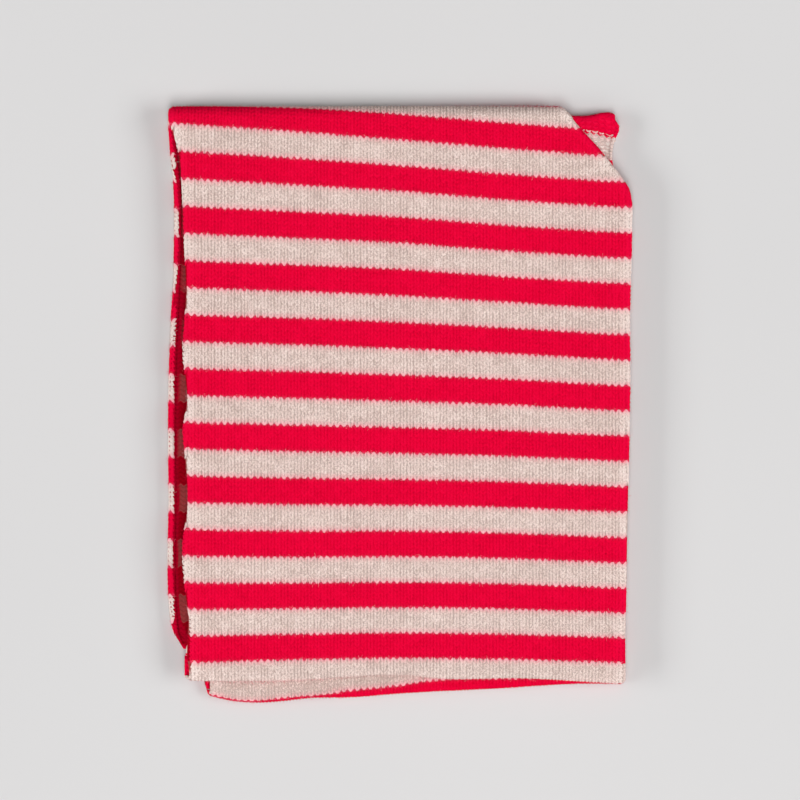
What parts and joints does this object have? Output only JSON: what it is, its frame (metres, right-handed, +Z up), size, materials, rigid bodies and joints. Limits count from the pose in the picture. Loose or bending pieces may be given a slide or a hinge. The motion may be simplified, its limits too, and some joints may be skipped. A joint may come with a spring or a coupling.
{
  "type": "neckerchief",
  "caption": "A red and oatmeal striped knitted lambswool neckerchief with slanted ends, folded into a flat packet with one rolled side edge and a tapered end below.",
  "frame": {"origin": "centre of the underside of the folded packet, on the surface that it lies on", "axes": "+X to the right and +Y to the far fold as seen from above, +Z up off the surface"},
  "size_m": [0.2324, 0.2977, 0.0125],
  "materials": {
    "striped_knit": "milled lambswool stockinette in red and oatmeal stripes, softly fuzzy"
  },
  "bodies": {
    "root": {"top_layer": "striped_knit", "second_layer": "striped_knit", "third_layer": "striped_knit", "fourth_layer": "striped_knit", "tapered_end": "striped_knit", "hidden_layers": "striped_knit"}
  },
  "joints": []
}
